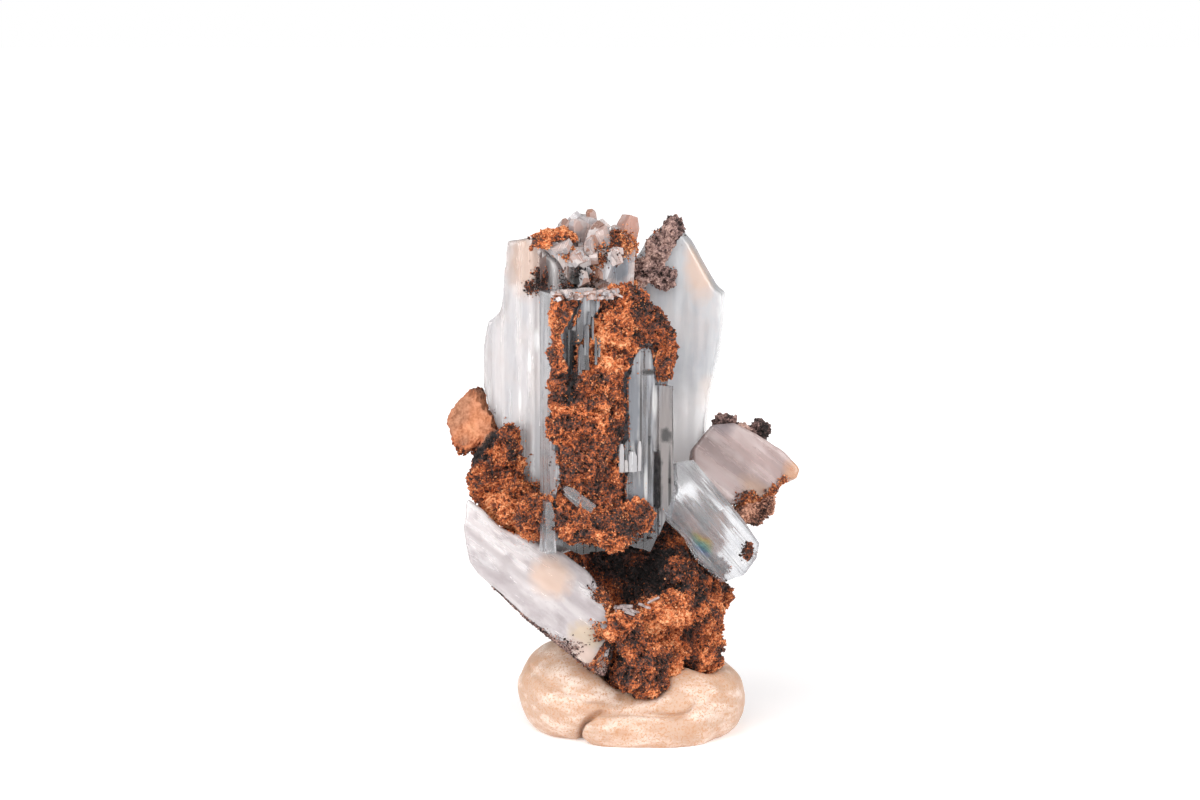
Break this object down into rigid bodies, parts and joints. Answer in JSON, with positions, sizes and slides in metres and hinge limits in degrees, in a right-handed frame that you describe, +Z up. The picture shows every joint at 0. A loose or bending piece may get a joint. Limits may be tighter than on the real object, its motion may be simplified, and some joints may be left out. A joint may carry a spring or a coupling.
{
  "type": "mineral specimen",
  "caption": "Upright mineral specimen: striated barite blades and a clear prism on a granular orange-brown goethite matrix, standing in a lump of soft display putty.",
  "frame": {"origin": "on the putty's flat underside, below the middle of the putty", "axes": "+Z up, -Y towards the viewer, so that +X is to the viewer's right"},
  "size_m": [0.0271, 0.0154, 0.0392],
  "materials": {
    "barite": "milky and striated, with a glassy lustre",
    "barite_clear": "clear and striated, with a glassy lustre",
    "barite_pink": "cloudy pinkish grey, with a glassy lustre",
    "goethite": "granular and earthy, orange to dark brown",
    "putty": "soft, smooth and matt"
  },
  "bodies": {
    "root": {"barite_center_column": "barite", "barite_left_blade": "barite", "barite_back_blade": "barite", "barite_top_crystals": "barite", "barite_clear_prism": "barite_clear", "barite_right_blade": "barite_pink", "barite_lower_blade": "barite_pink", "goethite_matrix": "goethite", "goethite_crown": "goethite", "goethite_peak": "goethite", "goethite_right_crust": "goethite", "goethite_right_knobs": "goethite", "goethite_tip_crust": "goethite", "putty_base": "putty"}
  },
  "joints": []
}
